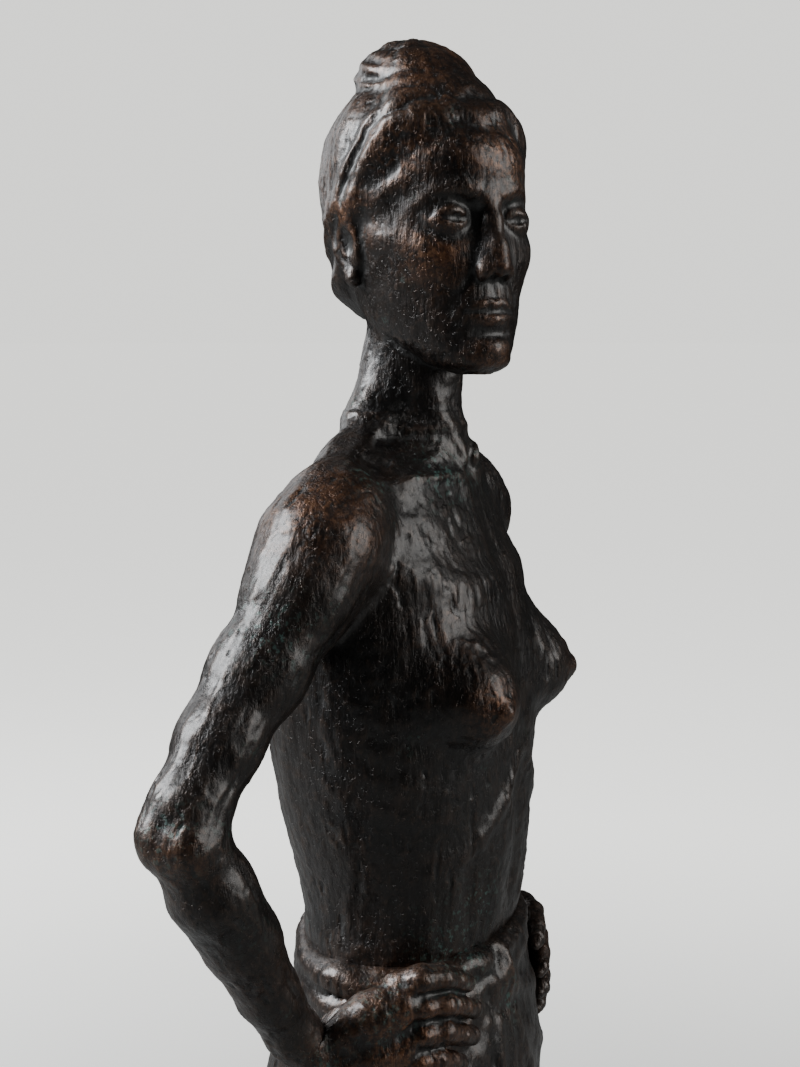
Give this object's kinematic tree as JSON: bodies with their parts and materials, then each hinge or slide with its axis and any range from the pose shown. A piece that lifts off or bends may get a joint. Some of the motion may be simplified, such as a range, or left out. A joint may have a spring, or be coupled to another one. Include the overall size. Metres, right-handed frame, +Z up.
{
  "type": "statuette",
  "caption": "Cast bronze statuette of a standing woman with her hands on her hips and a long wrapped skirt, on a stone plinth",
  "frame": {"origin": "centre of the felt pad's underside, on the table", "axes": "+Z up, the figure's body faces -Y, its right side is on -X"},
  "size_m": [0.1696, 0.122, 0.5158],
  "materials": {
    "bronze_patina": "dark brown wax patina over cast bronze, rubbed reddish on high spots, with verdigris in hollows",
    "bronze_dowel": "drawn bronze, filed and patinated",
    "zinc_steel": "bright zinc plated steel",
    "dark_stone": "honed dark stone with fine veins",
    "felt": "dense wool felt"
  },
  "bodies": {
    "root": {"head_casting": "bronze_patina", "hair_bun": "bronze_patina", "torso_casting": "bronze_patina", "right_arm_casting": "bronze_patina", "left_arm_casting": "bronze_patina", "right_hand_casting": "bronze_patina", "left_hand_casting": "bronze_patina", "wrap_skirt_casting": "bronze_patina", "right_foot_casting": "bronze_patina", "left_foot_casting": "bronze_patina", "ground_plate": "bronze_patina", "plinth": "dark_stone", "felt_pad": "felt", "washers": "zinc_steel", "nuts": "zinc_steel", "right_mounting_stud": "zinc_steel", "left_mounting_stud": "zinc_steel", "anti_turn_pin": "zinc_steel", "neck_dowels": "bronze_dowel", "right_shoulder_dowels": "bronze_dowel", "left_shoulder_dowels": "bronze_dowel", "waist_dowels": "bronze_dowel", "torso_core_plugs": "bronze_dowel", "skirt_core_plugs": "bronze_dowel"}
  },
  "joints": []
}
